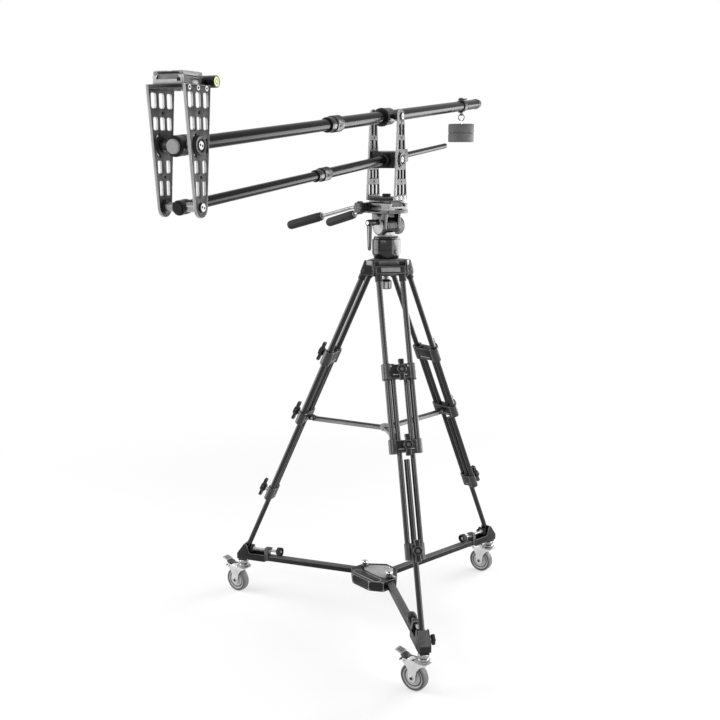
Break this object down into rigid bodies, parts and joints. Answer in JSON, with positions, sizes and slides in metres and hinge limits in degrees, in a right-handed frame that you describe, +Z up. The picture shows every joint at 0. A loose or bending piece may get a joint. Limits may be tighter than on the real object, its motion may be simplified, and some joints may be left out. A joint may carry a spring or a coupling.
{
  "type": "camera jib crane",
  "caption": "Parallel-arm camera jib with counterweight and levelled camera platform, on a fluid head with pan handles, a twin-tube tripod and a wheeled dolly.",
  "frame": {"origin": "middle of the whole outline, on the floor under the wheels", "axes": "+Z up; +Y away from the viewer of the front picture, along which the jib mostly runs, camera end at -Y; +X to the viewer's right"},
  "size_m": [0.8852, 1.6486, 1.5417],
  "materials": {
    "bare_aluminium": "satin machined",
    "black_plastic": "fine grained",
    "black_tube": "gloss black anodised",
    "dark_casting": "satin black painted",
    "grey_plate": "satin dark grey anodised",
    "grey_tyre": "matt",
    "handle_foam": "matt foam",
    "head_paint": "satin black painted",
    "pedal_grey": "satin",
    "screw_black": "satin black",
    "weight_iron": "painted, satin",
    "zinc_steel": "bright zinc plated"
  },
  "bodies": {
    "dolly_tripod": {"dolly_hub": "dark_casting", "dolly_arm_near": "dark_casting", "dolly_arm_left": "dark_casting", "dolly_arm_right": "dark_casting", "leg_outer_near": "black_tube", "leg_middle_near": "black_tube", "leg_lower_near": "black_tube", "leg_outer_left": "black_tube", "leg_middle_left": "black_tube", "leg_lower_left": "black_tube", "leg_outer_right": "black_tube", "leg_middle_right": "black_tube", "leg_lower_right": "black_tube", "tripod_crown": "dark_casting", "mid_spreader": "dark_casting", "head_base": "head_paint"},
    "fork_near": {"caster_fork_near": "zinc_steel"},
    "wheel_near": {"caster_wheel_near": "grey_tyre"},
    "brake_near": {"caster_brake_near": "pedal_grey"},
    "foot_screw_near": {"foot_screw_near": "screw_black"},
    "fork_left": {"caster_fork_left": "zinc_steel"},
    "wheel_left": {"caster_wheel_left": "grey_tyre"},
    "brake_left": {"caster_brake_left": "pedal_grey"},
    "foot_screw_left": {"foot_screw_left": "screw_black"},
    "fork_right": {"caster_fork_right": "zinc_steel"},
    "wheel_right": {"caster_wheel_right": "grey_tyre"},
    "brake_right": {"caster_brake_right": "pedal_grey"},
    "foot_screw_right": {"foot_screw_right": "screw_black"},
    "hub_knob_left": {"hub_knob_left": "black_plastic"},
    "hub_knob_near": {"hub_knob_near": "black_plastic"},
    "bowl_knob": {"bowl_knob": "black_plastic"},
    "head_pan": {"pan_body": "head_paint"},
    "head_tilt": {"tilt_cradle": "bare_aluminium"},
    "tilt_lever": {"tilt_lever": "black_plastic"},
    "quick_plate": {"quick_plate": "head_paint"},
    "handle_near": {"pan_handle_near": "handle_foam"},
    "handle_knob_near": {"handle_knob_near": "black_plastic"},
    "handle_far": {"pan_handle_far": "handle_foam"},
    "handle_knob_far": {"handle_knob_far": "black_plastic"},
    "jib_bracket": {"bracket_base": "dark_casting", "bracket_plate_left": "grey_plate", "bracket_plate_right": "grey_plate"},
    "boom_sleeve": {"boom_sleeve": "black_plastic"},
    "boom_rear": {"boom_rear_tube": "black_tube", "boom_end_cap": "black_plastic"},
    "boom_collar": {"boom_collar": "black_plastic"},
    "boom_front": {"boom_front_tube": "black_tube"},
    "weight_clamp": {"weight_clamp": "dark_casting"},
    "weight": {"weight_ring": "zinc_steel", "counterweight": "weight_iron"},
    "lower_block": {"lower_block": "black_plastic"},
    "lower_rear": {"lower_rear_tube": "black_tube"},
    "lower_collar": {"lower_collar": "black_plastic"},
    "lower_front": {"lower_front_tube": "black_tube"},
    "camera_frame": {"frame_plate_left": "grey_plate", "frame_plate_right": "grey_plate", "camera_platform": "dark_casting", "camera_clamp": "bare_aluminium"},
    "camera_plate": {"camera_plate": "bare_aluminium"},
    "level_knob": {"level_knob": "black_plastic"}
  },
  "joints": [
    {"name": "caster_swivel_near", "type": "hinge", "parent": "dolly_tripod", "child": "fork_near", "pos_m": [0.15795, -0.3411, 0], "axis": [0, 0, 1], "continuous": true},
    {"name": "wheel_spin_near", "type": "hinge", "parent": "fork_near", "child": "wheel_near", "pos_m": [0.13665, -0.32619, 0.0375], "axis": [-0.5736, -0.8192, 0], "continuous": true},
    {"name": "brake_press_near", "type": "hinge", "parent": "fork_near", "child": "brake_near", "pos_m": [0.11863, -0.31357, 0.086], "axis": [-0.5736, -0.8192, 0], "range_deg": [0, 15]},
    {"name": "foot_screw_slide_near", "type": "slide", "parent": "dolly_tripod", "child": "foot_screw_near", "axis": [-0.1908, 0.9816, 0], "range_m": [0, 0.03]},
    {"name": "caster_swivel_left", "type": "hinge", "parent": "dolly_tripod", "child": "fork_left", "pos_m": [-0.37045, 0.26675, 0], "axis": [0, 0, 1], "continuous": true},
    {"name": "wheel_spin_left", "type": "hinge", "parent": "fork_left", "child": "wheel_left", "pos_m": [-0.39175, 0.28166, 0.0375], "axis": [-0.5736, -0.8192, 0], "continuous": true},
    {"name": "brake_press_left", "type": "hinge", "parent": "fork_left", "child": "brake_left", "pos_m": [-0.40977, 0.29428, 0.086], "axis": [-0.5736, -0.8192, 0], "range_deg": [0, 15]},
    {"name": "foot_screw_slide_left", "type": "slide", "parent": "dolly_tripod", "child": "foot_screw_left", "axis": [0.9455, -0.3256, 0], "range_m": [0, 0.03]},
    {"name": "caster_swivel_right", "type": "hinge", "parent": "dolly_tripod", "child": "fork_right", "pos_m": [0.42016, 0.42042, 0], "axis": [0, 0, 1], "continuous": true},
    {"name": "wheel_spin_right", "type": "hinge", "parent": "fork_right", "child": "wheel_right", "pos_m": [0.39886, 0.43534, 0.0375], "axis": [-0.5736, -0.8192, 0], "continuous": true},
    {"name": "brake_press_right", "type": "hinge", "parent": "fork_right", "child": "brake_right", "pos_m": [0.38084, 0.44795, 0.086], "axis": [-0.5736, -0.8192, 0], "range_deg": [0, 15]},
    {"name": "foot_screw_slide_right", "type": "slide", "parent": "dolly_tripod", "child": "foot_screw_right", "axis": [-0.7547, -0.6561, 0], "range_m": [0, 0.03]},
    {"name": "hub_knob_turn_left", "type": "hinge", "parent": "dolly_tripod", "child": "hub_knob_left", "pos_m": [0.0106, 0.13554, 0.1423], "axis": [0, 0, 1], "range_deg": [0, 360]},
    {"name": "hub_knob_turn_near", "type": "hinge", "parent": "dolly_tripod", "child": "hub_knob_near", "pos_m": [0.08105, 0.0545, 0.1423], "axis": [0, 0, 1], "range_deg": [0, 360]},
    {"name": "bowl_knob_turn", "type": "hinge", "parent": "dolly_tripod", "child": "bowl_knob", "pos_m": [0.06922, 0.11535, 0], "axis": [0, 0, 1], "range_deg": [0, 360]},
    {"name": "head_pan_turn", "type": "hinge", "parent": "dolly_tripod", "child": "head_pan", "pos_m": [0.06922, 0.11535, 1.118], "axis": [0, 0, 1], "continuous": true},
    {"name": "head_tilt_turn", "type": "hinge", "parent": "head_pan", "child": "head_tilt", "pos_m": [0.06922, 0.11535, 1.162], "axis": [0.7071, 0.7071, 0], "range_deg": [-30, 60]},
    {"name": "tilt_lever_turn", "type": "hinge", "parent": "head_tilt", "child": "tilt_lever", "pos_m": [0.02517, 0.0713, 1.174], "axis": [0.7071, 0.7071, 0], "range_deg": [-60, 60]},
    {"name": "handle_set_near", "type": "hinge", "parent": "head_tilt", "child": "handle_near", "pos_m": [0.00749, 0.10171, 1.214], "axis": [0.7071, 0.7071, 0], "range_deg": [-35, 60]},
    {"name": "handle_knob_turn_near", "type": "hinge", "parent": "handle_near", "child": "handle_knob_near", "pos_m": [0.00749, 0.10171, 1.214], "axis": [0.7071, 0.7071, 0], "range_deg": [0, 360]},
    {"name": "handle_set_far", "type": "hinge", "parent": "head_tilt", "child": "handle_far", "pos_m": [0.08287, 0.17709, 1.214], "axis": [0.7071, 0.7071, 0], "range_deg": [-35, 60]},
    {"name": "handle_knob_turn_far", "type": "hinge", "parent": "handle_far", "child": "handle_knob_far", "pos_m": [0.08287, 0.17709, 1.214], "axis": [0.7071, 0.7071, 0], "range_deg": [0, 360]},
    {"name": "quick_plate_slide", "type": "slide", "parent": "head_tilt", "child": "quick_plate", "axis": [0.7071, -0.7071, 0], "range_m": [-0.02, 0.02]},
    {"name": "jib_lift_off", "type": "slide", "parent": "quick_plate", "child": "jib_bracket", "axis": [0, 0, 1], "range_m": [0, 0.1]},
    {"name": "boom_tilt", "type": "hinge", "parent": "jib_bracket", "child": "boom_sleeve", "pos_m": [0.06922, 0.11535, 1.4593], "axis": [-0.9063, 0.4226, 0], "range_deg": [-40, 50]},
    {"name": "boom_slide", "type": "slide", "parent": "boom_sleeve", "child": "boom_rear", "axis": [0.421, 0.9029, 0.0872], "range_m": [-0.07, 0.2]},
    {"name": "boom_telescope", "type": "slide", "parent": "boom_rear", "child": "boom_front", "axis": [0.421, 0.9029, 0.0872], "range_m": [0, 0.38]},
    {"name": "boom_collar_twist", "type": "hinge", "parent": "boom_rear", "child": "boom_collar", "pos_m": [-0.0714, -0.1862, 1.43019], "axis": [0.421, 0.9029, 0.0872], "range_deg": [0, 90]},
    {"name": "weight_clamp_slide", "type": "slide", "parent": "boom_rear", "child": "weight_clamp", "axis": [0.421, 0.9029, 0.0872], "range_m": [-0.08, 0.1]},
    {"name": "weight_swing", "type": "hinge", "parent": "weight_clamp", "child": "weight", "pos_m": [0.32699, 0.66815, 1.48656], "axis": [-0.9063, 0.4226, 0], "range_deg": [-50, 40]},
    {"name": "lower_arm_tilt", "type": "hinge", "parent": "jib_bracket", "child": "lower_block", "pos_m": [0.06922, 0.11535, 1.3443], "axis": [-0.9063, 0.4226, 0], "range_deg": [-40, 50]},
    {"name": "lower_slide", "type": "slide", "parent": "lower_block", "child": "lower_rear", "axis": [0.421, 0.9029, 0.0872], "range_m": [-0.07, 0.2]},
    {"name": "lower_telescope", "type": "slide", "parent": "lower_rear", "child": "lower_front", "axis": [0.421, 0.9029, 0.0872], "range_m": [0, 0.38]},
    {"name": "lower_collar_twist", "type": "hinge", "parent": "lower_rear", "child": "lower_collar", "pos_m": [-0.0975, -0.24218, 1.30979], "axis": [0.421, 0.9029, 0.0872], "range_deg": [0, 90]},
    {"name": "camera_frame_level", "type": "hinge", "parent": "boom_front", "child": "camera_frame", "pos_m": [-0.34253, -0.76764, 1.37406], "axis": [-0.9063, 0.4226, 0], "range_deg": [-50, 40]},
    {"name": "camera_plate_slide", "type": "slide", "parent": "camera_frame", "child": "camera_plate", "axis": [0.4226, 0.9063, 0], "range_m": [-0.02, 0.01]},
    {"name": "level_knob_turn", "type": "hinge", "parent": "camera_frame", "child": "level_knob", "pos_m": [-0.3195, -0.71825, 1.49236], "axis": [-0.9063, 0.4226, 0], "range_deg": [0, 360]}
  ],
  "couplings": [
    {"joint": "lower_arm_tilt", "follows": "boom_tilt", "ratio": 1},
    {"joint": "lower_slide", "follows": "boom_slide", "ratio": 1},
    {"joint": "lower_telescope", "follows": "boom_telescope", "ratio": 1},
    {"joint": "camera_frame_level", "follows": "boom_tilt", "ratio": -1},
    {"joint": "weight_swing", "follows": "boom_tilt", "ratio": -1}
  ]
}
